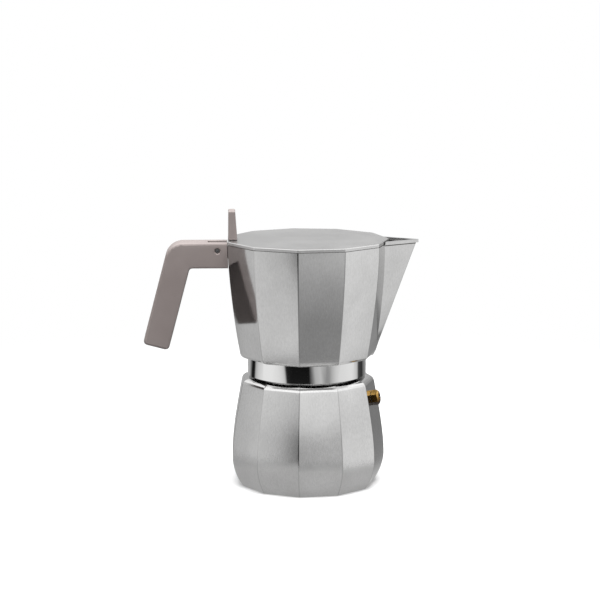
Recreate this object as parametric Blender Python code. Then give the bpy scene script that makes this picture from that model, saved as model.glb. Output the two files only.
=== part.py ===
"""Eleven-sided moka pot with a hinged lid, screw-on collector, funnel and safety valve.

The origin is the centre of the boiler's underside, +Z up, with the spout towards +X and the
handle towards -X. Sizes are in millimetres; make_mesh turns them into metres.
"""
import math

import bmesh
import bpy
from mathutils import Matrix, Vector

MM = 0.001
CLEAR = 0.3                 # gap between pieces that rest on each other
PAST = 5.0                  # how far a cutting tool reaches past the face that it opens

# Facets
SIDES = 11
CORNER_ROUND = 1.8          # radius of the vertical edges between facets
TURNED = 66                 # segments of a large turned piece
HIDDEN = 36                 # segments of a large turned piece inside the pot
FINE = 16                   # segments of a small turned piece

# Neck and thread
NECK_BORE = 33.0
NECK_RADIUS = NECK_BORE + 3.3
THREAD_DEPTH = 1.2
THREAD_PITCH = 3.0
THREAD_TURNS = 2.5
THREAD_PLAY = 0.35          # radial gap between the crests of the two threads
THREAD_START = 2.2          # from the skirt's lower edge to the middle of the first ridge
THREAD_ROOT = 0.4           # how deep a ridge's root lies in its wall
THREAD_BASE = 0.36          # half the ridge's base as a share of the pitch
THREAD_FADE = 5             # sections over which a ridge fades out
SKIRT_BORE = NECK_RADIUS + 2 * THREAD_DEPTH + THREAD_PLAY
SKIRT_WALL = 4.25

# Boiler
SHOULDER_RADIUS = NECK_RADIUS + 13.4
BELLY_RADIUS = SHOULDER_RADIUS + 7.3
BASE_RADIUS = BELLY_RADIUS - 7.5    # corner radius of the polygon where it stands
BELLY_HEIGHT = 21.0
SHOULDER_HEIGHT = 79.8
SHOULDER_START = SHOULDER_HEIGHT - 5.2
NECK_HEIGHT = SHOULDER_HEIGHT + 13.2
FOOT_PULL = (3.5, 5.0)      # how the curve leaves the foot: outwards, upwards
BELLY_PULL = (8.0, 0.32)    # how it meets the belly from below, and leaves it as a share of the rise
SHOULDER_PULL = (3.3, 17.6)
SHOULDER_ROUND = (0.5, 3.0)
SHOULDER_INSET = 6.7        # from the shoulder's corner to the flat top
SHOULDER_CROWN = (4.5, 0.5)
BOILER_WALL = 3.0
BOILER_FLOOR = 3.5
CAVITY_ROUND = 1.5          # inset of the cavity's lowest ring
CAVITY_ROOF_ROUND = 4.0     # rounding under the cavity's roof

# Collector
SKIRT_RADIUS = SKIRT_BORE + SKIRT_WALL      # polished ring
SKIRT_BOTTOM = SHOULDER_HEIGHT + 1.7
COLLECTOR_BOTTOM = SKIRT_BOTTOM + 12.5
BOTTOM_RADIUS = SKIRT_RADIUS + 7.6          # corner radius above the rounded lower edge
BOTTOM_EDGE = COLLECTOR_BOTTOM + 4.3
RIM_RADIUS = 60.0
COLLECTOR_HEIGHT = 83.9
RIM_HEIGHT = COLLECTOR_BOTTOM + COLLECTOR_HEIGHT
UNDER_PULL = ((1.2, 0.0), (4.2, 0.6), (0.7, 2.7))   # curve handles of the rounded lower edge
SIDE_PULL = (3.7, 0.235, 0.29)      # outwards at the bottom, and both handles as shares of the rise
COLLECTOR_WALL = 2.6
CHAMBER_FLOOR = 4.4         # thickness of the floor over the filter plate
CHAMBER_ROUND = (2.0, 3.0)  # rounding between the floor and the walls: inwards, upwards
LID_SEAT_PLAY = 0.9         # between the lid's edge and the spout's lip

# Spout
SPOUT_REACH = RIM_RADIUS + 19.9     # X of the keel at the rim
SPOUT_LOW = COLLECTOR_BOTTOM + 6.0  # height where the keel leaves the corner
SPOUT_TOP_HALF = 14.8       # half-width on the facets at the rim
SPOUT_LOW_HALF = 3.0
SPOUT_WALL = 1.9
LIP_HEIGHT = 2.3
LIP_OVERLAP = 0.5           # how far the lip reaches below the rim
LIP_PROUD = 1.0
LIP_ROOT = 6.0              # how far the lip's strip runs into the wall
KEEL_ROUND = 0.35

# Lid, tab and hinge
LID_THICK = 2.2
LID_RADIUS = RIM_RADIUS - 0.3
LID_RIB_DEPTH = 2.2
LID_RIB_WALL = 1.8
LID_RIB_PLAY = 1.3
TAB_HEIGHT = 21.0
TAB_WIDTH = 18.5
TAB_FOOT = 6.6
TAB_TIP = 4.9
TAB_SCREW_SPREAD = 6.2
TAB_SCREW_RADIUS = 1.3
TAB_SCREW_LENGTH = 11.0
TAB_SCREW_HEAD = 1.3        # how far the countersunk head is wider than the shank
TAB_SCREW_SLOT = 0.8
TAB_EDGE = 0.7
PIN_RADIUS = 1.6
PIN_BORE = 0.8
PIN_SUNK = 2.2              # from the handle's side to the pin's end
PIN_BACK = 7.4              # from the facet at the rim to the pin's axis
PIN_DROP = 4.9              # from the rim down to the pin's axis
PIN_PLAY = 0.25
ARM_WIDTH = 5.0
ARM_PLAY = 0.6              # between the lid's arm and the ears on each side
ARM_RUN = 18.0              # from the pin to the arm's front end under the lid
ARM_RISE = 1.2              # from the pin up to the arm's underside at its front
ARM_EYE = 3.8
EAR_WALL = 3.2
EAR_EYE = 3.4
EAR_DROP = 3.0              # how far the ears' web reaches below their eyes
EAR_STEP = 0.8              # how far the web's top lies below the top of the eyes

# Handle
HANDLE_WIDTH = 23.0
HANDLE_TOP = RIM_HEIGHT + 0.7
HANDLE_GAP = 0.4            # between the handle's end and the facet
ARM_HEIGHT = 18.2
ARM_REACH = 27.5            # from the facet to the inner corner
LEG_LEAN = math.radians(14.8)
LEG_THICK = 19.1
LEG_LENGTH = 62.0           # along the inner side
BEND_RADIUS = 13.0
INNER_ROUND = 2.5
LEG_ROUND = 3.0
HANDLE_EDGE = 1.4
ARM_SLOT_BACK = 7.1         # from the pin to the slot's rear end
PIN_SINK = (0.8, 0.7)       # countersink of the pin's bore: radius, depth

# Funnel, gasket and filter
FUNNEL_PLAY = 1.1           # radial gap in the neck
FUNNEL_WALL = 1.0
FUNNEL_DEPTH = 23.0
FUNNEL_CONE = 11.0
STEM_RADIUS = 4.5
STEM_WALL = 1.0
STEM_LIFT = 5.5             # from the boiler's floor to the stem's end
FUNNEL_SOCKET = 5.0         # length of the cone's end around the stem
FUNNEL_LEDGE = 2.0          # width of the ledge under the sieve
SIEVE_HOLE = 0.9
SIEVE_EDGE = 2.0            # plain edge around the holes
SIEVE_RINGS = 3
GASKET_THICK = 3.4
GASKET_WIDTH = 7.8
GASKET_EDGE = 0.5
PLATE_THICK = 1.0
PLATE_DISH = 2.8

# Coffee column
COLUMN_FOOT = 14.0
COLUMN_BORE = 4.6
COLUMN_TOP_RADIUS = 6.6
COLUMN_HEIGHT = RIM_HEIGHT - 19.9
COLUMN_FOOT_RISE = 2.0      # from the chamber's floor to the top of the foot
COLUMN_FLARE = (4.4, 6.0)   # the cone above the foot: inwards, upwards
CAP_HEIGHT = 6.0
CAP_PLUG = 4.0              # length of the cap's spigot in the column
CAP_WALL = 1.2
CAP_OUTLET = (5.2, 1.2, 2.2)    # width, and the wall left below and above

# Safety valve
VALVE_HEIGHT = SHOULDER_HEIGHT - 14.8
VALVE_FLATS = 9.7           # across the flats
VALVE_HEAD = 5.2
VALVE_CROWN = (0.5, 1.4, 1.1, 0.4)  # turned chamfer: two insets from the corners, two depths
VALVE_SHANK = 3.0
VALVE_BORE = 2.3
VALVE_SEAT = 0.9
VALVE_INSIDE = 1.6          # shank proud of the wall inside
WASHER_THICK = 0.8
WASHER_RADIUS = VALVE_FLATS / 2 - 0.75
PLUNGER_ROD = 0.8
PLUNGER_DISC = 1.2
PLUNGER_PROUD = 0.5
RETAINER = (1.9, 0.6)       # depth of its underside and its top below the head's end
SPRING_WIRE = 0.35
SPRING_TURNS = 4
PLUNGER_TRAVEL = 0.8        # room that the spring leaves below the retainer


def bezier(start, start_pull, end_pull, end, count, skip_first=False):
    """Points of a cubic curve through start and end, as (radius, height) pairs."""
    points = []
    for step in range(1 if skip_first else 0, count + 1):
        t = step / count
        weights = ((1 - t) ** 3, 3 * t * (1 - t) ** 2, 3 * t * t * (1 - t), t ** 3)
        corners = (start, start_pull, end_pull, end)
        points.append(tuple(sum(w * c[k] for w, c in zip(weights, corners)) for k in (0, 1)))
    return points


def boiler_profile():
    """Corner radius against height, from the base to the top of the shoulder."""
    belly = (BELLY_RADIUS, BELLY_HEIGHT)
    shoulder = (SHOULDER_RADIUS, SHOULDER_START)
    rise = SHOULDER_START - BELLY_HEIGHT
    foot = bezier((BASE_RADIUS, 0), (BASE_RADIUS + FOOT_PULL[0], FOOT_PULL[1]),
                  (BELLY_RADIUS, BELLY_HEIGHT - BELLY_PULL[0]), belly, 7)
    side = bezier(belly, (BELLY_RADIUS, BELLY_HEIGHT + BELLY_PULL[1] * rise),
                  (SHOULDER_RADIUS + SHOULDER_PULL[0], SHOULDER_START - SHOULDER_PULL[1]), shoulder, 8, True)
    top = (SHOULDER_RADIUS - SHOULDER_INSET, SHOULDER_HEIGHT)
    round_over = bezier(shoulder, (SHOULDER_RADIUS - SHOULDER_ROUND[0], SHOULDER_START + SHOULDER_ROUND[1]),
                        (top[0] + SHOULDER_CROWN[0], SHOULDER_HEIGHT - SHOULDER_CROWN[1]), top, 5, True)
    return foot + side + round_over


def collector_profile():
    """Corner radius against height, from the skirt to the rim."""
    rise = RIM_HEIGHT - BOTTOM_EDGE
    edge = (BOTTOM_RADIUS, BOTTOM_EDGE)
    start, leave, arrive = UNDER_PULL
    out, low_share, high_share = SIDE_PULL
    round_under = bezier((SKIRT_RADIUS + start[0], COLLECTOR_BOTTOM + start[1]),
                         (SKIRT_RADIUS + leave[0], COLLECTOR_BOTTOM + leave[1]),
                         (BOTTOM_RADIUS - arrive[0], BOTTOM_EDGE - arrive[1]), edge, 5)
    side = bezier(edge, (BOTTOM_RADIUS + out, BOTTOM_EDGE + low_share * rise),
                  (RIM_RADIUS, RIM_HEIGHT - high_share * rise), (RIM_RADIUS, RIM_HEIGHT), 9, True)
    return round_under + side


def radius_at(profile, height):
    """Corner radius of a profile at a height, between its points."""
    for (low_radius, low), (high_radius, high) in zip(profile, profile[1:]):
        if low <= height <= high:
            return low_radius + (high_radius - low_radius) * (height - low) / (high - low)
    return profile[0][0] if height < profile[0][1] else profile[-1][0]


def flat_of(radius):
    """Distance from the axis to the middle of a facet."""
    return radius * math.cos(math.pi / SIDES)


def make_mesh(name, points, faces, finish):
    """One object from points in millimetres, with its faces turned outwards."""
    mesh = bpy.data.meshes.new(name)
    mesh.from_pydata([Vector(p) * MM for p in points], [], faces)
    work = bmesh.new()
    work.from_mesh(mesh)
    bmesh.ops.recalc_face_normals(work, faces=work.faces)
    work.to_mesh(mesh)
    work.free()
    mesh.shade_smooth()
    mesh.set_sharp_from_angle(angle=math.radians(25))
    mesh.materials.append(finish)
    piece = bpy.data.objects.new(name, mesh)
    bpy.context.collection.objects.link(piece)
    return piece


def loft(name, rings, finish, closed=False):
    """Skin rings of equal length; the ends are capped unless the rings form a closed loop."""
    count = len(rings[0])
    points = [p for ring in rings for p in ring]
    faces = []
    for row in range(len(rings) if closed else len(rings) - 1):
        low, high = row * count, (row + 1) % len(rings) * count
        for k in range(count):
            following = (k + 1) % count
            faces.append((low + k, low + following, high + following, high + k))
    if not closed:
        faces.append(tuple(range(count)))
        faces.append(tuple(range(len(points) - count, len(points))))
    return make_mesh(name, points, faces, finish)


def turned(name, profile, finish, segments=HIDDEN, place=Matrix()):
    """Turn a closed outline of (radius, height) pairs, which stays clear of the axis."""
    rings = []
    for k in range(segments):
        angle = 2 * math.pi * k / segments
        rings.append([place @ Vector((r * math.cos(angle), r * math.sin(angle), z)) for r, z in profile])
    return loft(name, rings, finish, closed=True)


def rod(name, steps, finish, segments=FINE, place=Matrix()):
    """A solid shaft from (radius, height) steps."""
    rings = []
    for r, z in steps:
        angles = [2 * math.pi * (k + 0.5) / segments for k in range(segments)]
        rings.append([place @ Vector((r * math.cos(a), r * math.sin(a), z)) for a in angles])
    return loft(name, rings, finish)


def plate(name, outline, low, high, finish):
    """Extrude an outline of (x, z) pairs along Y."""
    rings = [[(x, y, z) for x, z in outline] for y in (low, high)]
    return loft(name, rings, finish)


def facet_ring(radius, height, rounding=CORNER_ROUND):
    """An eleven-sided ring with a corner at +X and each corner rounded by three points."""
    inset = rounding / math.cos(math.pi / SIDES)
    ring = []
    for side in range(SIDES):
        corner = 2 * math.pi * side / SIDES
        for turn in (-1, 0, 1):
            angle = corner + turn * math.pi / SIDES
            x = (radius - inset) * math.cos(corner) + rounding * math.cos(angle)
            y = (radius - inset) * math.sin(corner) + rounding * math.sin(angle)
            ring.append((x, y, height))
    return ring


def arc(centre, radius, start, end, count):
    """Points of an arc, angles in degrees."""
    angles = [math.radians(start + (end - start) * k / count) for k in range(count + 1)]
    return [(centre[0] + radius * math.cos(a), centre[1] + radius * math.sin(a)) for a in angles]


def fillet(before, corner, after, radius, count):
    """Points of a rounded corner in an outline."""
    corner = Vector(corner)
    first = (Vector(before) - corner).normalized()
    second = (Vector(after) - corner).normalized()
    half = first.angle(second) / 2
    centre = corner + (first + second).normalized() * radius / math.sin(half)
    start = corner + first * radius / math.tan(half) - centre
    end = corner + second * radius / math.tan(half) - centre
    sweep = start.angle_signed(end)
    points = []
    for k in range(count + 1):
        angle = -sweep * k / count
        turn = Matrix.Rotation(angle, 2)
        points.append(tuple(centre + turn @ start))
    return points


def apply_tool(piece, tool, operation="DIFFERENCE"):
    """Cut a piece with a tool, or join the tool to it."""
    tool.hide_render = True
    tool.display_type = "WIRE"
    change = piece.modifiers.new(tool.name, "BOOLEAN")
    change.operation = operation
    change.object = tool


def material(name, colour, metallic, roughness):
    finish = bpy.data.materials.new(name)
    finish.use_nodes = True
    finish.diffuse_color = (*colour, 1)
    shader = finish.node_tree.nodes["Principled BSDF"]
    shader.inputs["Base Color"].default_value = (*colour, 1)
    shader.inputs["Metallic"].default_value = metallic
    shader.inputs["Roughness"].default_value = roughness
    return finish


def pivot(name, place):
    """An empty on a joint's axis, which the moving pieces hang on."""
    empty = bpy.data.objects.new(name, None)
    empty.location = Vector(place) * MM
    bpy.context.collection.objects.link(empty)
    return empty


def hang(empty, *pieces):
    for piece in pieces:
        piece.parent = empty
        piece.matrix_parent_inverse = Matrix.Translation(-empty.location)


def thread(name, root, crest, low, finish):
    """A helical ridge that fades out at both ends; root lies inside its wall."""
    per_turn = 18
    steps = int(per_turn * THREAD_TURNS)
    base = THREAD_BASE * THREAD_PITCH
    rings = []
    for k in range(steps + 1):
        angle = 2 * math.pi * k / per_turn
        fade = min(1, (k + 0.5) / THREAD_FADE, (steps - k + 0.5) / THREAD_FADE)
        middle = low + THREAD_PITCH * k / per_turn
        tip = root + (crest - root) * (0.3 + 0.7 * fade)
        section = ((root, -base), (tip, -base / 4), (tip, base / 4), (root, base))
        rings.append([(r * math.cos(angle), r * math.sin(angle), middle + z) for r, z in section])
    return loft(name, rings, finish)


def hole_pattern(outer):
    """Centres of evenly spread holes on rings around the middle, inside a radius."""
    centres = [(0.0, 0.0)]
    for ring in range(1, SIEVE_RINGS + 1):
        radius = (outer - 2 * SIEVE_HOLE) * ring / SIEVE_RINGS
        for k in range(6 * ring):
            angle = 2 * math.pi * k / (6 * ring)
            centres.append((radius * math.cos(angle), radius * math.sin(angle)))
    return centres


def sieve_cutter(name, outer, low, high, finish):
    """All the drill holes of a sieve as one tool."""
    points, faces = [], []
    corners = 6
    for x, y in hole_pattern(outer):
        base = len(points)
        for z in (low, high):
            for k in range(corners):
                angle = 2 * math.pi * k / corners
                points.append((x + SIEVE_HOLE * math.cos(angle), y + SIEVE_HOLE * math.sin(angle), z))
        for k in range(corners):
            following = (k + 1) % corners
            faces.append((base + k, base + following, base + corners + following, base + corners + k))
        faces.append(tuple(range(base, base + corners)))
        faces.append(tuple(range(base + corners, base + 2 * corners)))
    return make_mesh(name, points, faces, finish)


def disc(name, radius, low, high, finish, segments=HIDDEN):
    return rod(name, [(radius, low), (radius, high)], finish, segments)


def across(x, z):
    """Turns an upright shaft so that it lies along Y through (x, z)."""
    return Matrix.Translation((x, 0, z)) @ Matrix.Rotation(-math.pi / 2, 4, "X")


def valve_place():
    """Frame on the facet beside the spout: its +Z points out of the wall."""
    profile = boiler_profile()
    step = 2.0
    low = flat_of(radius_at(profile, VALVE_HEIGHT - step))
    high = flat_of(radius_at(profile, VALVE_HEIGHT + step))
    lean = math.atan((low - high) / (2 * step))
    heading = -math.pi / SIDES
    face = flat_of(radius_at(profile, VALVE_HEIGHT))
    spot = Vector((face * math.cos(heading), face * math.sin(heading), VALVE_HEIGHT))
    turn = Matrix.Rotation(heading, 4, "Z") @ Matrix.Rotation(math.pi / 2 - lean, 4, "Y")
    return Matrix.Translation(spot) @ turn


def build_boiler(metal):
    profile = boiler_profile()
    boiler = loft("boiler", [facet_ring(r, z) for r, z in profile], metal)
    neck = disc("boiler_neck", NECK_RADIUS, SHOULDER_HEIGHT - 2, NECK_HEIGHT, metal, TURNED)
    apply_tool(boiler, neck, "UNION")
    ridge = thread("boiler_thread", NECK_RADIUS - THREAD_ROOT, NECK_RADIUS + THREAD_DEPTH,
                   SKIRT_BOTTOM + THREAD_START, metal)
    apply_tool(boiler, ridge, "UNION")
    roof = SHOULDER_HEIGHT - BOILER_WALL - SHOULDER_CROWN[1]
    apply_tool(boiler, boiler_cavity(profile, roof, metal))
    apply_tool(boiler, disc("neck_bore", NECK_BORE, roof - PAST, NECK_HEIGHT + PAST, metal))
    hole = rod("valve_hole", [(VALVE_SHANK + CLEAR, -BOILER_WALL - PAST), (VALVE_SHANK + CLEAR, PAST)],
               metal, FINE, valve_place())
    apply_tool(boiler, hole)


def boiler_cavity(profile, roof, metal):
    """The water space, a wall inside the profile and rounded at its floor and roof."""
    inset = BOILER_WALL / math.cos(math.pi / SIDES)
    high = roof - CAVITY_ROOF_ROUND
    rings = [facet_ring(radius_at(profile, BOILER_FLOOR) - inset - CAVITY_ROUND, BOILER_FLOOR)]
    steps = 7
    for k in range(steps + 1):
        start = BOILER_FLOOR + 2 * CAVITY_ROUND
        level = start + (high - start) * k / steps
        rings.append(facet_ring(radius_at(profile, level) - inset, level))
    rings.append(facet_ring(radius_at(profile, high) - inset - CAVITY_ROOF_ROUND, roof))
    return loft("boiler_cavity", rings, metal)


def valve_head(brass, place, low, high, end):
    """Hexagon with a turned crown, its shank, its bore and a recess for the washer."""
    upright = place @ Matrix.Rotation(math.pi / 6, 4, "Z")
    corner = VALVE_FLATS / math.sqrt(3)
    body = rod("valve_body", [(corner, low), (corner, high)], brass, 6, upright)
    inset, inner_inset, depth, inner_depth = VALVE_CROWN
    crown = rod("valve_crown", [(corner + 2, low - 1), (corner + 2, high - 2 * depth),
                                (corner - inset, high - depth), (corner - inner_inset, high - inner_depth),
                                (VALVE_BORE + 0.5, high)],
                brass, 24, place)
    apply_tool(body, crown, "INTERSECT")
    recess = WASHER_THICK + 2 * CLEAR
    apply_tool(body, rod("washer_recess", [(WASHER_RADIUS + CLEAR, low - 1), (WASHER_RADIUS + CLEAR, recess)],
                         brass, 24, place))
    shank = rod("valve_shank", [(VALVE_SHANK, end), (VALVE_SHANK, recess + 1)], brass, FINE, place)
    apply_tool(body, shank, "UNION")
    bore = rod("valve_bore", [(VALVE_BORE, end + 1), (VALVE_BORE, high + PAST)], brass, FINE, place)
    apply_tool(body, bore)
    apply_tool(body, rod("valve_seat", [(VALVE_SEAT, end - PAST), (VALVE_SEAT, end + 2)], brass, FINE, place))


def build_valve(brass, steel, rubber):
    place = valve_place()
    high = CLEAR + VALVE_HEAD
    end = -BOILER_WALL - VALVE_INSIDE
    valve_head(brass, place, CLEAR, high, end)
    inner, washer_high = VALVE_SHANK + CLEAR, CLEAR + WASHER_THICK
    turned("valve_washer", [(inner, CLEAR), (WASHER_RADIUS, CLEAR), (WASHER_RADIUS, washer_high),
                            (inner, washer_high)], rubber, FINE, place)

    disc_low = end + 1 + CLEAR
    disc_high = disc_low + PLUNGER_DISC
    wide = VALVE_BORE - CLEAR
    plunger = rod("valve_plunger", [(VALVE_SEAT + 0.5, disc_low), (wide, disc_low + 0.5), (wide, disc_high),
                                    (PLUNGER_ROD, disc_high), (PLUNGER_ROD, high + PLUNGER_PROUD - 0.3),
                                    (PLUNGER_ROD - 0.25, high + PLUNGER_PROUD)], steel, FINE, place)
    low, top = (high - depth for depth in RETAINER)
    inner, outer = PLUNGER_ROD + CLEAR, VALVE_BORE - 0.05
    turned("valve_retainer", [(inner, low), (outer, low), (outer, top), (inner, top)], brass, FINE, place)
    spring = coil("valve_spring", (PLUNGER_ROD + VALVE_BORE) / 2, disc_high + SPRING_WIRE + CLEAR,
                  low - SPRING_WIRE - CLEAR - PLUNGER_TRAVEL, steel, place)
    return plunger, spring


def coil(name, radius, low, high, finish, place):
    """A wire helix of round section."""
    per_turn, sides = 10, 5
    steps = per_turn * SPRING_TURNS
    rings = []
    for k in range(steps + 1):
        angle = 2 * math.pi * k / per_turn
        out = Vector((math.cos(angle), math.sin(angle), 0))
        centre = out * radius + Vector((0, 0, low + (high - low) * k / steps))
        ring = []
        for side in range(sides):
            turn = 2 * math.pi * side / sides
            offset = out * math.cos(turn) + Vector((0, 0, math.sin(turn)))
            ring.append(place @ (centre + offset * SPRING_WIRE))
        rings.append(ring)
    return loft(name, rings, finish)


def build_funnel(metal):
    outer = NECK_BORE - FUNNEL_PLAY
    inner = outer - FUNNEL_WALL
    flange_low = NECK_HEIGHT + CLEAR
    flange_high = flange_low + FUNNEL_WALL
    floor = flange_high - FUNNEL_DEPTH
    cone_end = floor - FUNNEL_CONE
    mouth = STEM_RADIUS + CLEAR
    ledge = inner - FUNNEL_LEDGE
    cup = turned("funnel_cup", [(inner, flange_high), (inner, floor), (ledge, floor - 0.6),
                                (mouth, cone_end), (mouth, cone_end - FUNNEL_SOCKET),
                                (mouth + FUNNEL_WALL, cone_end - FUNNEL_SOCKET),
                                (mouth + FUNNEL_WALL, cone_end - 0.6), (ledge + 0.9, floor - 1.6),
                                (outer, floor - 0.8), (outer, flange_low),
                                (NECK_RADIUS - CLEAR, flange_low), (NECK_RADIUS - CLEAR, flange_high)], metal)
    low = BOILER_FLOOR + STEM_LIFT
    stem = turned("funnel_stem", [(STEM_RADIUS - STEM_WALL, low), (STEM_RADIUS, low), (STEM_RADIUS, cone_end),
                                  (STEM_RADIUS - STEM_WALL, cone_end)], metal, 24)
    sieve = disc("funnel_sieve", inner - CLEAR, floor + CLEAR, floor + CLEAR + PLATE_THICK, metal)
    apply_tool(sieve, sieve_cutter("sieve_holes", ledge - SIEVE_EDGE, floor - PAST, floor + PAST, metal))
    return [cup, stem, sieve]


def seal_levels():
    """Heights of the gasket's underside, its top, the plate's top and the collector's ceiling."""
    gasket_low = NECK_HEIGHT + 2 * CLEAR + FUNNEL_WALL
    gasket_high = gasket_low + GASKET_THICK
    plate_high = gasket_high + CLEAR + PLATE_THICK
    return gasket_low, gasket_high, plate_high, plate_high + CLEAR


def chamber_floor():
    """Height of the coffee chamber's floor."""
    return seal_levels()[3] + CHAMBER_FLOOR


def build_seal(rubber, metal):
    gasket_low, gasket_high, plate_high, _ = seal_levels()
    outer = NECK_RADIUS + THREAD_DEPTH
    inner = outer - GASKET_WIDTH
    soft = GASKET_EDGE
    gasket = turned("gasket", [(inner, gasket_low + soft), (inner + soft, gasket_low),
                               (outer - soft, gasket_low), (outer, gasket_low + soft),
                               (outer, gasket_high - soft), (outer - soft, gasket_high),
                               (inner + soft, gasket_high), (inner, gasket_high - soft)], rubber)
    rim = outer - 1
    dish = inner - CLEAR
    low = plate_high - PLATE_THICK
    base = low - PLATE_DISH
    filter_plate = rod("filter_plate", [(dish - 1, base), (dish, base + 0.8), (dish, low), (rim, low),
                                        (rim, plate_high)], metal, HIDDEN)
    hollow = rod("plate_dish", [(dish - 1.6, base + PLATE_THICK), (dish - 1, plate_high + 1)], metal, HIDDEN)
    apply_tool(filter_plate, hollow)
    holes = sieve_cutter("plate_holes", dish - 1 - SIEVE_EDGE, base - PAST, plate_high + PAST, metal)
    apply_tool(filter_plate, holes)
    return [gasket, filter_plate]


def spout_sides(height):
    """Keel X and half-width on the facets of the spout's outside at a height."""
    share = (height - SPOUT_LOW) / (RIM_HEIGHT - SPOUT_LOW)
    profile = collector_profile()
    low_corner = radius_at(profile, SPOUT_LOW)
    keel = low_corner + (SPOUT_REACH - low_corner) * share
    half = SPOUT_LOW_HALF + (SPOUT_TOP_HALF - SPOUT_LOW_HALF) * max(share, 0)
    return max(keel, radius_at(profile, height)), half


def spout_corner(height, wall):
    """The spout's points at a height, from one facet round the keel to the other."""
    corner = radius_at(collector_profile(), height)
    lean = math.tan(math.pi / SIDES)
    keel, half = spout_sides(height)
    slope = (keel - corner + half * lean) / half
    inner_corner = corner - wall[0] / math.cos(math.pi / SIDES)
    keel = max(keel - wall[1] * math.hypot(1, slope), inner_corner)
    if wall[1] > 0:
        half = max((keel - inner_corner) / max(slope - lean, 0.01), 1.0) if keel > inner_corner else 1.0
    root = inner_corner - half * lean
    blunt = keel - KEEL_ROUND * (keel - root) / half
    return [(root, -half, height), (blunt, -KEEL_ROUND, height), (keel - KEEL_ROUND / 2, 0, height),
            (blunt, KEEL_ROUND, height), (root, half, height)]


def collector_ring(height, wall=(0.0, 0.0), shrink=0.0):
    """Outline of the collector at a height, inside its walls where a wall is given."""
    corner = radius_at(collector_profile(), height) - wall[0] / math.cos(math.pi / SIDES) - shrink
    ring = facet_ring(corner, height)
    return spout_corner(height, (wall[0] + shrink, wall[1])) + ring[3:]


def build_lip(metal):
    """Strip around the spout's mouth, a little proud of its sides."""
    keel, half = spout_sides(RIM_HEIGHT)
    root = RIM_RADIUS - half * math.tan(math.pi / SIDES)
    slope = (keel - root) / half
    tip = keel + LIP_PROUD * math.hypot(1, slope)
    side = half + LIP_PROUD * math.hypot(1, slope) / slope
    outline = [(tip - KEEL_ROUND * slope, -KEEL_ROUND), (tip - KEEL_ROUND * slope, KEEL_ROUND),
               (root, side), (root - LIP_ROOT, half - 2), (root - LIP_ROOT, 2 - half), (root, -side)]
    low = RIM_HEIGHT - LIP_OVERLAP
    return loft("spout_lip", [[(x, y, z) for x, y in outline] for z in (low, low + LIP_HEIGHT)], metal)


def build_collector(metal):
    profile = collector_profile()
    body = loft("collector", [collector_ring(z) for _, z in profile], metal)
    ceiling = seal_levels()[3]
    skirt = disc("collector_skirt", SKIRT_RADIUS, SKIRT_BOTTOM, COLLECTOR_BOTTOM + 3, metal, TURNED)
    apply_tool(body, skirt, "UNION")
    apply_tool(body, build_lip(metal), "UNION")
    seat = LID_RADIUS + LID_SEAT_PLAY
    levels = (RIM_HEIGHT, RIM_HEIGHT + PAST)
    apply_tool(body, loft("lid_seat", [facet_ring(seat, z) for z in levels], metal))
    ears(body, metal)

    apply_tool(body, coffee_chamber(metal))
    apply_tool(body, disc("skirt_bore", SKIRT_BORE, SKIRT_BOTTOM - PAST, ceiling, metal))
    apply_tool(body, disc("column_well", COLUMN_FOOT + CLEAR, ceiling - 1, chamber_floor() + PAST, metal))
    ridge = thread("collector_thread", SKIRT_BORE + THREAD_ROOT, SKIRT_BORE - THREAD_DEPTH,
                   SKIRT_BOTTOM + THREAD_START + THREAD_PITCH / 2, metal)
    apply_tool(body, ridge, "UNION")
    return body


def coffee_chamber(metal):
    """The space inside the collector and its spout, open at the top."""
    walls = (COLLECTOR_WALL, SPOUT_WALL)
    rings = [collector_ring(chamber_floor(), walls, CHAMBER_ROUND[0])]
    low = chamber_floor() + CHAMBER_ROUND[1]
    steps = 9
    for k in range(steps + 1):
        rings.append(collector_ring(low + (RIM_HEIGHT - low) * k / steps, walls))
    rings.append([(x, y, RIM_HEIGHT + PAST) for x, y, _ in rings[-1]])
    return loft("coffee_chamber", rings, metal)


def pin_spot():
    """X and Z of the pin that carries the handle and the lid."""
    return -flat_of(RIM_RADIUS) - PIN_BACK, RIM_HEIGHT - PIN_DROP


def eye_outline(eye, front, low, high):
    """A round eye around the pin that runs forwards to front, between two heights there."""
    x, z = pin_spot()
    start = 90 + math.degrees(math.acos(min(1, (high - z) / eye)))
    end = 360 + math.degrees(math.asin(max(-1, (low - z) / eye)))
    return arc((x, z), eye, start, end, 14) + [(front, low), (front, high)]


def ears(body, metal):
    """Two lugs on the rear facet, a bore for the pin and a notch for the lid's arm."""
    x, z = pin_spot()
    front = -flat_of(RIM_RADIUS) + 1.5
    inner = ARM_WIDTH / 2 + ARM_PLAY
    for name, low in (("ear_left", inner), ("ear_right", -inner - EAR_WALL)):
        outline = eye_outline(EAR_EYE, front, z - EAR_EYE - EAR_DROP, z + EAR_EYE - EAR_STEP)
        apply_tool(body, plate(name, outline, low, low + EAR_WALL, metal), "UNION")
    reach = inner + EAR_WALL + PAST
    bore = rod("ear_bore", [(PIN_RADIUS + PIN_PLAY, -reach), (PIN_RADIUS + PIN_PLAY, reach)], metal, FINE,
               across(x, z))
    apply_tool(body, bore)
    low, high = z + CLEAR, RIM_HEIGHT + PAST
    notch = [(x, low), (front + PAST, low), (front + PAST, high), (x, high)]
    apply_tool(body, plate("arm_notch", notch, -inner, inner, metal))


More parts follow.
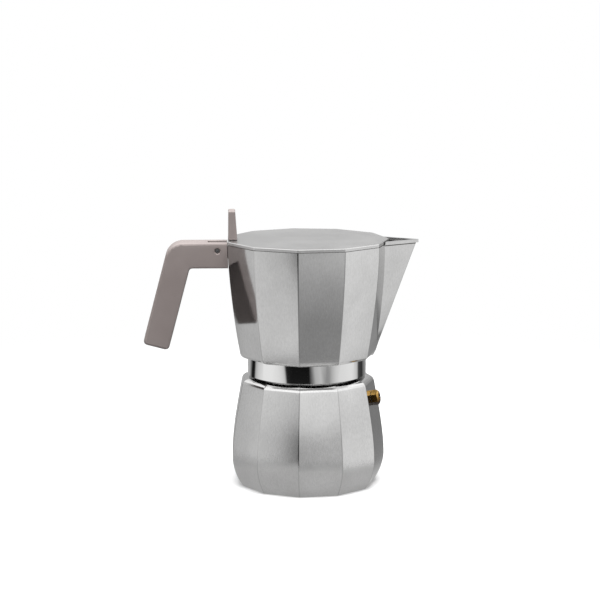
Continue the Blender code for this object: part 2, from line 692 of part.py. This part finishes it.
def build_column(metal):
    ceiling = seal_levels()[3]
    foot_top = chamber_floor() + COLUMN_FOOT_RISE
    inwards, upwards = COLUMN_FLARE
    top = COLUMN_HEIGHT
    column = turned("coffee_column", [(COLUMN_FOOT - 3, ceiling), (COLUMN_FOOT, ceiling),
                                      (COLUMN_FOOT, foot_top), (COLUMN_FOOT - inwards, foot_top + upwards),
                                      (COLUMN_TOP_RADIUS, top), (COLUMN_BORE, top),
                                      (COLUMN_BORE, foot_top + upwards + 2)], metal)
    cap_low = top + CLEAR
    cap_high = cap_low + CAP_HEIGHT
    plug = COLUMN_BORE - CLEAR
    wide = COLUMN_TOP_RADIUS
    cap = rod("column_cap", [(plug, top - CAP_PLUG), (plug, cap_low), (wide, cap_low), (wide, cap_high - 2),
                             (wide - 2, cap_high)], metal, HIDDEN)
    bore = plug - CAP_WALL
    apply_tool(cap, rod("cap_bore", [(bore, top - CAP_PLUG - 1), (bore, cap_high - CAP_WALL)], metal, FINE))
    width, below, above = CAP_OUTLET
    half, low, high = width / 2, cap_low + below, cap_high - above
    slot = [(-half, low), (half, low), (half, high), (-half, high)]
    reach = wide + PAST
    apply_tool(cap, plate("outlets", slot, -reach, reach, metal))
    return [column, cap]


def build_lid(metal):
    low = RIM_HEIGHT + CLEAR
    lid = loft("lid", [facet_ring(LID_RADIUS, low), facet_ring(LID_RADIUS, low + LID_THICK - 0.4),
                       facet_ring(LID_RADIUS - 0.4, low + LID_THICK)], metal)
    rib_outer = RIM_RADIUS - COLLECTOR_WALL / math.cos(math.pi / SIDES) - LID_RIB_PLAY
    rib_inner, rib_low = rib_outer - LID_RIB_WALL, low - LID_RIB_DEPTH
    section = ((rib_outer, low + 1), (rib_outer, rib_low), (rib_inner, rib_low), (rib_inner, low + 1))
    apply_tool(lid, loft("lid_rib", [facet_ring(r, z) for r, z in section], metal, closed=True), "UNION")
    x, z = pin_spot()
    outline = eye_outline(ARM_EYE, x + ARM_RUN, z + ARM_RISE, low + 0.6)
    apply_tool(lid, plate("lid_arm", outline, -ARM_WIDTH / 2, ARM_WIDTH / 2, metal), "UNION")
    bore = PIN_RADIUS + PIN_PLAY
    apply_tool(lid, rod("arm_bore", [(bore, -ARM_WIDTH), (bore, ARM_WIDTH)], metal, FINE, across(x, z)))
    narrow = TAB_SCREW_RADIUS + CLEAR
    wide = narrow + TAB_SCREW_HEAD + CLEAR
    steps = [(wide, low - 1), (wide, low), (narrow, low + wide - narrow - 0.1),
             (narrow, low + LID_THICK + PAST)]
    for side, name in ((-1, "screw_hole_right"), (1, "screw_hole_left")):
        apply_tool(lid, rod(name, steps, metal, FINE, Matrix.Translation((*screw_spot(side), 0))))
    return lid


def screw_spot(side):
    return -flat_of(LID_RADIUS) + TAB_FOOT / 2 + 0.1, side * TAB_SCREW_SPREAD


def build_tab(plastic, steel):
    top = RIM_HEIGHT + CLEAR + LID_THICK
    foot = top + CLEAR
    back = -flat_of(LID_RADIUS) + 0.1
    outline = [(back, foot), (back + TAB_FOOT, foot), (back + 0.2 + TAB_TIP, top + TAB_HEIGHT),
               (back + 0.2, top + TAB_HEIGHT)]
    tab = plate("lid_tab", outline, -TAB_WIDTH / 2, TAB_WIDTH / 2, plastic)
    soften(tab, TAB_EDGE)
    screws = []
    for side, name in ((-1, "tab_screw_right"), (1, "tab_screw_left")):
        place = Matrix.Translation((*screw_spot(side), 0))
        low = RIM_HEIGHT + 2 * CLEAR
        end = low + TAB_SCREW_LENGTH
        bore = TAB_SCREW_RADIUS + CLEAR
        pilot = rod(name + "_pilot", [(bore, foot - 2), (bore, end + 1)], plastic, FINE, place)
        apply_tool(tab, pilot)
        screw = rod(name, [(TAB_SCREW_RADIUS + TAB_SCREW_HEAD, low), (TAB_SCREW_RADIUS, low + TAB_SCREW_HEAD),
                           (TAB_SCREW_RADIUS, end - 0.8), (TAB_SCREW_RADIUS - 0.7, end)], steel, FINE, place)
        x, y = screw_spot(side)
        half = TAB_SCREW_SLOT / 2
        slot = [(x - half, low - 1), (x + half, low - 1), (x + half, low + half), (x - half, low + half)]
        apply_tool(screw, plate(name + "_slot", slot, y - PAST, y + PAST, steel))
        screws.append(screw)
    return tab, screws


def soften(piece, width, segments=2):
    bevel = piece.modifiers.new("edges", "BEVEL")
    bevel.width = width * MM
    bevel.segments = segments
    bevel.limit_method = "ANGLE"
    bevel.angle_limit = math.radians(40)


def facet_x(height):
    """X of the rear facet at a height."""
    return -flat_of(radius_at(collector_profile(), height))


def handle_outline():
    """Side view: arm, bend, leaning leg and square end; the arm runs on into the facet."""
    low = HANDLE_TOP - ARM_HEIGHT
    down = Vector((-math.sin(LEG_LEAN), -math.cos(LEG_LEAN)))
    out = Vector((-math.cos(LEG_LEAN), math.sin(LEG_LEAN)))
    inner = Vector((facet_x(RIM_HEIGHT) - ARM_REACH, low))
    inner_end = inner + down * LEG_LENGTH
    outer_end = inner_end + out * LEG_THICK
    rise = (HANDLE_TOP - outer_end.y) / -down.y
    outer_top = outer_end - down * rise
    front = facet_x(low) + PAST
    top, bottom = Vector((front, HANDLE_TOP)), Vector((front, low))
    return ([tuple(bottom), tuple(top)]
            + fillet(top, outer_top, outer_end, BEND_RADIUS, 9)
            + fillet(outer_top, outer_end, inner_end, LEG_ROUND, 4)
            + fillet(outer_end, inner_end, inner, LEG_ROUND, 4)
            + fillet(inner_end, inner, bottom, INNER_ROUND, 4))


def build_handle(plastic):
    half = HANDLE_WIDTH / 2
    handle = plate("handle", handle_outline(), -half, half, plastic)
    soften(handle, HANDLE_EDGE)
    low = HANDLE_TOP - ARM_HEIGHT
    heights = [low - PAST, low, (low + HANDLE_TOP) / 2, HANDLE_TOP + PAST]
    face = [(facet_x(h) - HANDLE_GAP, h) for h in heights]
    front = facet_x(low) + 3 * PAST
    end = face + [(front, heights[-1]), (front, heights[0])]
    apply_tool(handle, plate("handle_end", end, -half - 1, half + 1, plastic))

    x, z = pin_spot()
    inner = ARM_WIDTH / 2 + ARM_PLAY
    outer = inner + EAR_WALL + CLEAR
    low, high = z - EAR_EYE - EAR_DROP - 2 * CLEAR, z + EAR_EYE - EAR_STEP + CLEAR
    back = x - EAR_EYE - 2 * CLEAR
    pocket = [(front, low), (back, low), (back, high), (front, high)]
    apply_tool(handle, plate("handle_pocket", pocket, -outer, outer, plastic))
    back, high = x - ARM_SLOT_BACK, HANDLE_TOP + PAST
    slot = [(front, low), (back, low), (back, high), (front, high)]
    apply_tool(handle, plate("arm_slot", slot, -inner, inner, plastic))
    bore, (wider, deep) = PIN_RADIUS + 0.1, PIN_SINK
    steps = [(bore + wider, -half - 1), (bore + wider, 0.2 - half), (bore, deep + 0.2 - half)]
    steps += [(r, -y) for r, y in reversed(steps)]
    apply_tool(handle, rod("pin_bore", steps, plastic, FINE, across(x, z)))
    return handle


def build_pin(steel):
    x, z = pin_spot()
    half = HANDLE_WIDTH / 2 - PIN_SUNK
    edge = 0.3
    return turned("hinge_pin", [(PIN_BORE, -half), (PIN_RADIUS - edge, -half), (PIN_RADIUS, -half + edge),
                                (PIN_RADIUS, half - edge), (PIN_RADIUS - edge, half), (PIN_BORE, half)],
                  steel, FINE, across(x, z))


def main():
    for old in list(bpy.data.objects):
        bpy.data.objects.remove(old)
    aluminium = material("cast_aluminium", (0.62, 0.62, 0.61), 1.0, 0.34)
    sheet = material("sheet_aluminium", (0.70, 0.70, 0.70), 1.0, 0.28)
    steel = material("steel", (0.45, 0.45, 0.46), 1.0, 0.3)
    brass = material("brass", (0.62, 0.42, 0.14), 1.0, 0.25)
    plastic = material("taupe_plastic", (0.25, 0.21, 0.20), 0.0, 0.5)
    rubber = material("silicone", (0.72, 0.71, 0.68), 0.0, 0.6)

    build_boiler(aluminium)
    plunger, spring = build_valve(brass, steel, rubber)
    funnel = build_funnel(sheet)
    seal = build_seal(rubber, sheet)
    collector = build_collector(aluminium)
    column = build_column(aluminium)
    handle = build_handle(plastic)
    pin = build_pin(steel)
    lid = build_lid(aluminium)
    tab, screws = build_tab(plastic, steel)

    x, z = pin_spot()
    valve_axis = pivot("valve_slide", valve_place().translation)
    hang(valve_axis, plunger, spring)
    lift = pivot("funnel_lift", (0, 0, NECK_HEIGHT))
    hang(lift, *funnel)
    unscrew = pivot("unscrew", (0, 0, SKIRT_BOTTOM))
    hang(unscrew, *seal, collector, *column, handle, pin)
    hinge = pivot("lid_hinge", (x, 0, z))
    hang(hinge, lid, tab, *screws)


main()
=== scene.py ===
import math

import bmesh
import bpy
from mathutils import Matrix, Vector


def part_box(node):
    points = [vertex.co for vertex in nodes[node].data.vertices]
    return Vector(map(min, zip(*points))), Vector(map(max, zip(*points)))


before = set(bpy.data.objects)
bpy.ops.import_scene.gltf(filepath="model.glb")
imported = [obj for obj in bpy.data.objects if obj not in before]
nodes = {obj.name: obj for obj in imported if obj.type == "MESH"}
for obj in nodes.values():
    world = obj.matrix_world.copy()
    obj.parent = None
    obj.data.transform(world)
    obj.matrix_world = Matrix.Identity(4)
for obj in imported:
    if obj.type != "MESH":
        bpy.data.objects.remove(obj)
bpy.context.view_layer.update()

# Lengths are in metres, angles in degrees.
CAMERA_AT = (-0.0567, -1.444, 0.376)
CAMERA_HEADING = -2.05
CAMERA_PITCH = 9.46
CAMERA_LENS = 120.4

BAND_HEIGHT = 0.0125        # the turned band at the collector's lower end
BAND_RADIUS = 0.0433
BAND_ABOVE = 0.0006         # how far the band's finish reaches above, inside and outside its surface
BAND_INSIDE = 0.0015
BAND_OUTSIDE = 0.0004
BAND_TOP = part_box("collector")[0].z + BAND_HEIGHT + BAND_ABOVE
LIP_HEIGHT = 0.0023
LIP_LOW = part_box("collector")[1].z - LIP_HEIGHT
PAINTED_LIP_SHADE_HEIGHT = 0.0009               # height of the painted shade line under the spout's lip
SPOUT_ROOT = 0.0558         # from here towards +X the spout's sides lie outside the facets

FACETS = 11
PAINTED_EDGE_HALF = 0.0004          # half-width of the painted dark reflection lines along the facets' edges
FACET_CROWN = 0.9           # per metre: a slope of about 2 degrees at a facet's edge

FLOOR_DROP = 0.0002         # between the pot's underside and the floor
FLOOR_RADIUS = 0.62
MIRRORED_AT = (-0.03, -0.07)
MIRRORED_RADIUS = 0.20

CAST_DARK = (0.49, 0.488, 0.485)
CAST_LIGHT = (0.60, 0.598, 0.595)
# painted dark reflection lines along the facets' edges
PAINTED_EDGE_REFLECTION_TONE = (0.43, 0.428, 0.425)
BAND_TONE = (0.66, 0.66, 0.655)
# painted shade under the spout's lip
PAINTED_LIP_SHADE_TONE = (0.09, 0.088, 0.085)
EVEN = (1, 1, 1)            # stretch of a pattern without a direction
BRUSHED = (1, 1, 0.35)      # drawn out along the pot's axis
LATHE = (0.02, 0.02, 1)     # drawn out across it, as a lathe's lines are

WELD = 0.000004
SOFT_UNDER = 30             # edges flatter than this are shaded smooth
CRISP_UNDER = 14            # the same on the facets
FLAT_WEIGHT = 60            # how strongly large faces keep their own shading


# ---------------------------------------------------------------- node helpers

class Tree:
    """Builds one material's node tree with short calls."""

    def __init__(self, name):
        self.material = bpy.data.materials.new(name)
        self.material.use_nodes = True
        self.nodes = self.material.node_tree.nodes
        self.links = self.material.node_tree.links
        self.shader = self.nodes["Principled BSDF"]
        self.place = self.add("ShaderNodeTexCoord").outputs["Object"]

    def add(self, kind, **values):
        node = self.nodes.new(kind)
        for key, value in values.items():
            setattr(node, key, value)
        return node

    def join(self, source, target):
        self.links.new(source, target)

    def fixed(self, **values):
        """Numbers and colours set on the shader's own sockets."""
        for key, value in values.items():
            self.shader.inputs[key.replace("_", " ")].default_value = value

    def parts(self, vector):
        """The X, Y and Z of a vector socket."""
        node = self.add("ShaderNodeSeparateXYZ")
        self.join(vector, node.inputs[0])
        return node.outputs

    def noise(self, scale, detail, stretch=EVEN):
        """Noise in object space; a stretch below 1 draws the pattern out along that axis."""
        mapping = self.add("ShaderNodeMapping")
        mapping.inputs["Scale"].default_value = stretch
        self.join(self.place, mapping.inputs["Vector"])
        texture = self.add("ShaderNodeTexNoise")
        texture.inputs["Scale"].default_value = scale
        texture.inputs["Detail"].default_value = detail
        self.join(mapping.outputs["Vector"], texture.inputs["Vector"])
        return texture.outputs["Fac"]

    def math(self, operation, first, second=0.5):
        node = self.add("ShaderNodeMath", operation=operation)
        for socket, value in zip(node.inputs, (first, second)):
            if isinstance(value, (int, float)):
                socket.default_value = value
            else:
                self.join(value, socket)
        return node.outputs[0]

    def span(self, value, low, high, to_low, to_high, smooth=False):
        """Map a value from one range to another, and hold it at the ends."""
        node = self.add("ShaderNodeMapRange")
        if smooth:
            node.interpolation_type = "SMOOTHSTEP"
        for socket, number in zip(node.inputs[1:5], (low, high, to_low, to_high)):
            socket.default_value = number
        self.join(value, node.inputs[0])
        return node.outputs[0]

    def blend(self, share, first, second):
        """Mix two colours or colour sockets."""
        node = self.add("ShaderNodeMix", data_type="RGBA")
        for socket, value in ((node.inputs[0], share), (node.inputs[6], first), (node.inputs[7], second)):
            if isinstance(value, (int, float)):
                socket.default_value = value
            elif isinstance(value, tuple):
                socket.default_value = (*value, 1)
            else:
                self.join(value, socket)
        return node.outputs[2]

    def bump(self, height, strength, distance, normal=None):
        node = self.add("ShaderNodeBump")
        node.inputs["Strength"].default_value = strength
        node.inputs["Distance"].default_value = distance
        self.join(height, node.inputs["Height"])
        if normal is not None:
            self.join(normal, node.inputs["Normal"])
        return node.outputs["Normal"]

    def within(self, value, low, high):
        """1 where a value lies between two numbers, else 0."""
        above = self.math("GREATER_THAN", value, low)
        return self.math("MULTIPLY", above, self.math("LESS_THAN", value, high))

    def from_axis(self, x, y):
        """Distance from the pot's axis."""
        return self.math("SQRT", self.math("ADD", self.math("MULTIPLY", x, x), self.math("MULTIPLY", y, y)))


def crowned_facets(tree):
    """A normal that makes each of the eleven facets very slightly convex, and a mask of their edges for
    painted dark reflection lines.
    """
    x, y, _ = tree.parts(tree.place)
    bearing = tree.math("ARCTAN2", y, x)
    facet = tree.math("FRACT", tree.math("ADD", tree.math("MULTIPLY", bearing, FACETS / math.tau), FACETS))
    turn = tree.math("MULTIPLY", tree.math("SUBTRACT", facet, 0.5), math.tau / FACETS)
    away = tree.from_axis(x, y)
    offset = tree.math("MULTIPLY", away, tree.math("SINE", turn))
    corner = tree.math("MULTIPLY", away, math.sin(math.pi / FACETS))
    rise = tree.math("SUBTRACT", tree.math("MULTIPLY", corner, corner), tree.math("MULTIPLY", offset, offset))
    beyond_spout = tree.math("GREATER_THAN", tree.math("ABSOLUTE", bearing), math.tau / FACETS)
    height = tree.math("MULTIPLY", tree.math("MULTIPLY", rise, beyond_spout), FACET_CROWN)
    past = tree.math("SUBTRACT", math.pi / FACETS, tree.math("ABSOLUTE", turn))
    edge = tree.math("LESS_THAN", tree.math("MULTIPLY", away, past), PAINTED_EDGE_HALF)
    return tree.bump(height, 1.0, 1.0), edge


def satin_metal(name, dark, light, rough, stretch=BRUSHED, cloud=30, relief=0.06, faceted=False):
    """Metal with a cloudy tone, a fine grain and faint scratches; faceted metal also gets painted dark
    reflection lines along its facets' edges.

    Returns the tree and the sockets of its roughness, normal and tone.
    """
    tree = Tree(name)
    clouds = tree.noise(cloud, 4)
    grain = tree.noise(1100, 3, stretch)
    scratches = tree.noise(1500, 2, stretch)
    spread = tree.math("ADD", tree.math("MULTIPLY", clouds, 0.6), tree.math("MULTIPLY", grain, 0.4))
    tone = tree.blend(tree.span(spread, 0.36, 0.64, 0, 1), dark, light)
    roughness = tree.span(spread, 0.3, 0.7, *rough)
    crown = None
    if faceted:
        crown, edge = crowned_facets(tree)
        # painted dark reflection lines along the facets' edges
        tone = tree.blend(edge, tone, PAINTED_EDGE_REFLECTION_TONE)
    tree.join(tone, tree.shader.inputs["Base Color"])
    tree.join(roughness, tree.shader.inputs["Roughness"])
    fine = tree.bump(scratches, relief, 0.00004, crown)
    normal = tree.bump(clouds, relief, 0.0005, fine)
    tree.join(normal, tree.shader.inputs["Normal"])
    tree.fixed(Metallic=1.0)
    return tree, roughness, normal, tone


def body_metal():
    """The finish of the boiler, and of the column with its cap, with painted dark reflection lines along the
    facets' edges.
    """
    return satin_metal("satin_aluminium", CAST_DARK, CAST_LIGHT, (0.12, 0.19), faceted=True)[0].material


def lid_metal():
    """The lid's finish: the same metal, matter."""
    return satin_metal("matt_aluminium", (0.50, 0.498, 0.495), (0.57, 0.568, 0.565), (0.27, 0.36))[0].material


def collector_metal():
    """The boiler's metal, glossier, with the turned band below the facets and a painted shade line under the
    spout's lip.
    """
    tree, roughness, normal, tone = satin_metal("satin_aluminium_turned_band", CAST_DARK, CAST_LIGHT,
                                                (0.06, 0.11), faceted=True)
    x, y, z = tree.parts(tree.place)
    low = tree.math("LESS_THAN", z, BAND_TOP)
    outer = tree.within(tree.from_axis(x, y), BAND_RADIUS - BAND_INSIDE, BAND_RADIUS + BAND_OUTSIDE)
    band = tree.math("MULTIPLY", low, outer)
    # painted shade: a near-black line just under the spout's lip, beside the spout
    beside_spout = tree.math("GREATER_THAN", x, SPOUT_ROOT)
    painted_lip_shade = tree.math("MULTIPLY", beside_spout, tree.within(z, LIP_LOW - PAINTED_LIP_SHADE_HEIGHT, LIP_LOW))
    lathe = tree.noise(5200, 1, LATHE)
    band_rough = tree.span(lathe, 0.3, 0.7, 0.035, 0.075)
    mixed = tree.add("ShaderNodeMix")
    tree.join(band, mixed.inputs[0])
    tree.join(roughness, mixed.inputs[2])
    tree.join(band_rough, mixed.inputs[3])
    tree.join(mixed.outputs[0], tree.shader.inputs["Roughness"])
    bright = tree.blend(band, tone, BAND_TONE)
    tree.join(tree.blend(painted_lip_shade, bright, PAINTED_LIP_SHADE_TONE), tree.shader.inputs["Base Color"])
    turned = tree.bump(lathe, 0.02, 0.00003)
    choose = tree.add("ShaderNodeMix", data_type="VECTOR")
    tree.join(band, choose.inputs[0])
    tree.join(normal, choose.inputs[4])
    tree.join(turned, choose.inputs[5])
    tree.join(choose.outputs[1], tree.shader.inputs["Normal"])
    return tree.material


def pressed_metal():
    """The funnel's and the filter's sheet: lighter, with no direction in its grain."""
    return satin_metal("pressed_aluminium", (0.72, 0.72, 0.715), (0.8, 0.8, 0.8), (0.2, 0.3),
                       EVEN, 45, 0.04)[0].material


def steel():
    """The pin, the screws and the valve's plunger and spring."""
    return satin_metal("dull_steel", (0.30, 0.30, 0.31), (0.42, 0.42, 0.43), (0.26, 0.4),
                       EVEN, 300, 0.08)[0].material


def brass():
    """The valve's brass, spotted, with painted shade on the faces that look down."""
    tree = Tree("turned_brass")
    clouds = tree.noise(420, 3)
    bright = tree.blend(tree.span(clouds, 0.38, 0.66, 0, 1), (0.42, 0.24, 0.06), (0.80, 0.50, 0.15))
    # painted shade: faces that look down are darkened to near black
    upward = tree.parts(tree.add("ShaderNodeNewGeometry").outputs["Normal"])[2]
    tone = tree.blend(tree.span(upward, -0.2, 0.6, 0, 1), (0.03, 0.01, 0.002), bright)
    tree.join(tone, tree.shader.inputs["Base Color"])
    tree.join(tree.span(clouds, 0.3, 0.7, 0.30, 0.16), tree.shader.inputs["Roughness"])
    lines = tree.noise(5200, 1)
    tree.join(tree.bump(lines, 0.12, 0.0001), tree.shader.inputs["Normal"])
    tree.fixed(Metallic=1.0)
    return tree.material


def moulding(name, dark, light, rough, cloud, grain, relief, ior):
    """A matt moulded surface: a cloudy tone and a fine grain in its roughness and relief."""
    tree = Tree(name)
    tone = tree.blend(tree.span(tree.noise(cloud, 3), 0.35, 0.68, 0, 1), dark, light)
    tree.join(tone, tree.shader.inputs["Base Color"])
    grains = tree.noise(grain, 2)
    tree.join(tree.span(grains, 0.3, 0.7, *rough), tree.shader.inputs["Roughness"])
    tree.join(tree.bump(grains, relief, 0.0001), tree.shader.inputs["Normal"])
    tree.fixed(IOR=ior)
    return tree.material


def taupe_plastic():
    """The warm grey of the handle and the tab."""
    return moulding("taupe_plastic", (0.232, 0.198, 0.190), (0.262, 0.226, 0.217), (0.40, 0.54),
                    cloud=35, grain=3600, relief=0.10, ior=1.49)


def silicone():
    """The off-white of the gasket and the valve's washer."""
    return moulding("silicone", (0.70, 0.69, 0.655), (0.79, 0.78, 0.75), (0.50, 0.66),
                    cloud=120, grain=2600, relief=0.12, ior=1.41)


# ---------------------------------------------------------------- shading of the CAD nodes

def smooth_group(limit):
    """Geometry nodes that weld a CAD mesh and shade it smooth up to an edge angle."""
    group = bpy.data.node_groups.new(f"weld_and_smooth_{limit:g}", "GeometryNodeTree")
    group.interface.new_socket("Geometry", in_out="INPUT", socket_type="NodeSocketGeometry")
    group.interface.new_socket("Geometry", in_out="OUTPUT", socket_type="NodeSocketGeometry")
    start = group.nodes.new("NodeGroupInput")
    end = group.nodes.new("NodeGroupOutput")
    weld = group.nodes.new("GeometryNodeMergeByDistance")
    weld.inputs["Distance"].default_value = WELD
    faces = group.nodes.new("GeometryNodeSetShadeSmooth")
    edges = group.nodes.new("GeometryNodeSetShadeSmooth")
    edges.domain = "EDGE"
    angle = group.nodes.new("GeometryNodeInputMeshEdgeAngle")
    soft = group.nodes.new("ShaderNodeMath")
    soft.operation = "LESS_THAN"
    soft.inputs[1].default_value = math.radians(limit)
    link = group.links.new
    link(start.outputs[0], weld.inputs["Geometry"])
    link(weld.outputs[0], faces.inputs["Geometry"])
    link(faces.outputs[0], edges.inputs["Geometry"])
    link(angle.outputs["Unsigned Angle"], soft.inputs[0])
    link(soft.outputs[0], edges.inputs["Shade Smooth"])
    link(edges.outputs[0], end.inputs[0])
    return group


def shade(node, group, weighted):
    """Shade one CAD node; weighted keeps its large faces flat."""
    change = node.modifiers.new("weld_and_smooth", "NODES")
    change.node_group = group
    if weighted:
        flat = node.modifiers.new("flat_faces", "WEIGHTED_NORMAL")
        flat.mode = "FACE_AREA"
        flat.weight = FLAT_WEIGHT
        flat.keep_sharp = True


def finish_with(material, *names):
    """Give CAD nodes a material."""
    for name in names:
        slots = nodes[name].data.materials
        slots.clear()
        slots.append(material)


def dress_nodes():
    """Give every CAD node its finish and its shading."""
    finish_with(body_metal(), "boiler", "coffee_column", "column_cap")
    finish_with(lid_metal(), "lid")
    finish_with(collector_metal(), "collector")
    finish_with(pressed_metal(), "funnel_cup", "funnel_stem", "funnel_sieve", "filter_plate")
    finish_with(steel(), "hinge_pin", "valve_plunger", "valve_spring", "tab_screw_left", "tab_screw_right")
    finish_with(brass(), "valve_body", "valve_retainer")
    finish_with(taupe_plastic(), "handle", "lid_tab")
    finish_with(silicone(), "gasket", "valve_washer")
    soft, crisp = smooth_group(SOFT_UNDER), smooth_group(CRISP_UNDER)
    for name, node in nodes.items():
        faceted = name in ("boiler", "collector", "lid")
        shade(node, crisp if faceted else soft, faceted or name in ("handle", "lid_tab", "valve_body"))


# ---------------------------------------------------------------- studio

def ramp(tree, share, stops):
    """A colour ramp with grey stops of (position, brightness)."""
    node = tree.nodes.new("ShaderNodeValToRGB")
    elements = node.color_ramp.elements
    elements.remove(elements[-1])
    for k, (position, grey) in enumerate(stops):
        element = elements[0] if k == 0 else elements.new(position)
        element.position = position
        element.color = (grey, grey, grey, 1)
    tree.links.new(share, node.inputs[0])
    return node.outputs[0]


# Brightness of the studio by bearing, in degrees from the camera's side towards the spout's:
# a dark opening in front, where the camera stands, and two dark flags behind at the sides.
HORIZON = ((-180, 0.40), (-150, 0.42), (-136, 0), (-125, 0), (-120, 0.46), (-112, 0.66),
           (-92, 0.92), (-75, 0.92), (-60, 0.84), (-51, 0.74), (-46, 0.6), (-42, 0),
           (3, 0), (8, 0.2), (14, 0.5), (24, 0.6), (30, 0.45), (36, 0.30), (42, 0.32), (48, 0.5), (56, 0.68),
           (64, 0.8), (95, 0.88), (107, 0.72), (113, 0.55), (118, 0.05), (134, 0.02),
           (141, 0.16), (152, 0.26), (180, 0.40))
# The same below the horizon, where the table is, and for the walls above it.
TABLE = ((-180, 0.40), (-140, 0.42), (-120, 0.58), (-75, 0.66), (-50, 0.80), (-43, 0.7), (-32, 0.34),
         (20, 0.30), (32, 0.34), (45, 0.66), (60, 0.78), (86, 0.80),
         (115, 0.6), (135, 0.34), (155, 0.28), (180, 0.40))
WALLS = ((-180, 0.45), (-140, 0.45), (-112, 0.56), (-80, 0.8), (-52, 0.9), (-38, 0.55), (-5, 0.7),
         (12, 0.95), (90, 0.95), (120, 0.6), (150, 0.4), (180, 0.45))
TABLE_RISE = (-27.0, -10.0)     # elevations between which the horizon takes over from the table
WALLS_RISE = (1.0, 8.0)
OVERHEAD_RISE = (14.0, 40.0)
GAIN = 1.25                 # brightness of the three bands above
OVERHEAD = 1.7              # brightness above them
FILL = 0.14                 # even light on matt surfaces

# Soft boxes: position, width and power, all aimed at the pot.
AIM = (0, 0, 0.1)
SOFT_BOXES = {"top_softbox": ((0, -0.2, 1.3), 1.4, 42), "front_softbox": ((-0.5, -1.5, 0.7), 0.9, 8)}


def build_world():
    """The studio that the metal mirrors; matt surfaces get an even light and the camera sees white."""
    world = bpy.data.worlds.new("studio")
    bpy.context.scene.world = world
    world.use_nodes = True
    tree = world.node_tree
    add, link = tree.nodes.new, tree.links.new

    def compute(operation, *values):
        node = add("ShaderNodeMath")
        node.operation = operation
        for socket, value in zip(node.inputs, values):
            if isinstance(value, (int, float)):
                socket.default_value = value
            else:
                link(value, socket)
        return node.outputs[0]

    def blend(share, first, second):
        node = add("ShaderNodeMix")
        node.data_type = "RGBA"
        for socket, value in ((node.inputs[0], share), (node.inputs[6], first), (node.inputs[7], second)):
            if isinstance(value, tuple):
                socket.default_value = value
            else:
                link(value, socket)
        return node.outputs[2]

    place = add("ShaderNodeTexCoord")
    parts = add("ShaderNodeSeparateXYZ")
    link(place.outputs["Generated"], parts.inputs[0])
    x, y, z = parts.outputs
    bearing = compute("ARCTAN2", x, compute("MULTIPLY", y, -1))
    share = compute("MULTIPLY_ADD", bearing, 1 / math.tau, 0.5)
    elevation = compute("ARCSINE", z)

    def rise(low, high):
        node = add("ShaderNodeMapRange")
        node.interpolation_type = "SMOOTHSTEP"
        node.inputs[1].default_value = math.radians(low)
        node.inputs[2].default_value = math.radians(high)
        link(elevation, node.inputs[0])
        return node.outputs[0]

    table, horizon, walls = (ramp(tree, share, [((angle + 180) / 360, GAIN * grey) for angle, grey in stops])
                             for stops in (TABLE, HORIZON, WALLS))
    lower = blend(rise(*TABLE_RISE), table, horizon)
    upper = blend(rise(*WALLS_RISE), lower, walls)
    mirrored = blend(rise(*OVERHEAD_RISE), upper, (OVERHEAD, OVERHEAD, OVERHEAD, 1))
    path = add("ShaderNodeLightPath")
    lit = blend(path.outputs["Is Diffuse Ray"], mirrored, (FILL, FILL, FILL, 1))
    seen = blend(path.outputs["Is Camera Ray"], lit, (1.0, 1.0, 1.0, 1))
    link(seen, tree.nodes["Background"].inputs["Color"])


def disc(name, at, radius, tone, glow, solid_share):
    """A pale matt disc that melts away towards its rim."""
    mesh = bpy.data.meshes.new(name)
    work = bmesh.new()
    bmesh.ops.create_circle(work, cap_ends=True, radius=radius, segments=96)
    work.to_mesh(mesh)
    work.free()
    floor = bpy.data.objects.new(name, mesh)
    bpy.context.collection.objects.link(floor)
    floor.location = (*at, -FLOOR_DROP)
    tree = Tree(name)
    tree.fixed(Base_Color=(tone, tone, tone, 1), Roughness=0.7, Specular_IOR_Level=0.1,
               Emission_Color=(1, 1, 1, 1), Emission_Strength=glow)
    length = tree.add("ShaderNodeVectorMath", operation="LENGTH")
    tree.join(tree.place, length.inputs[0])
    fade = tree.span(length.outputs["Value"], radius * solid_share, radius, 1, 0, True)
    tree.join(fade, tree.shader.inputs["Alpha"])
    mesh.materials.append(tree.material)
    return floor


def build_floor():
    """The white floor that the camera sees, and the greyer one that the metal reflects."""
    seen = disc("floor", (0, 0), FLOOR_RADIUS, 0.93, 0, 0.35)
    seen.visible_glossy = False
    seen.visible_diffuse = False
    mirrored = disc("floor_mirrored", MIRRORED_AT, MIRRORED_RADIUS, 0.8, 0.30, 0.3)
    mirrored.visible_camera = False
    mirrored.visible_diffuse = False
    mirrored.visible_shadow = False
    mirrored.visible_transmission = False


def soft_box(name, at, size, power):
    """A square light that metal doesn't mirror."""
    data = bpy.data.lights.new(name, "AREA")
    data.energy = power
    data.size = size
    light = bpy.data.objects.new(name, data)
    light.location = at
    light.rotation_euler = (Vector(AIM) - Vector(at)).to_track_quat("-Z", "Y").to_euler()
    light.visible_glossy = False
    bpy.context.collection.objects.link(light)


def build_studio():
    build_world()
    build_floor()
    for name, (at, size, power) in SOFT_BOXES.items():
        soft_box(name, at, size, power)


def build_camera():
    data = bpy.data.cameras.new("camera")
    data.lens = CAMERA_LENS
    data.sensor_width = 36
    camera = bpy.data.objects.new("camera", data)
    camera.location = CAMERA_AT
    camera.rotation_euler = (math.radians(90 - CAMERA_PITCH), 0, math.radians(CAMERA_HEADING))
    bpy.context.collection.objects.link(camera)
    bpy.context.scene.camera = camera


dress_nodes()
build_studio()
build_camera()
bpy.context.scene.view_settings.view_transform = "Standard"
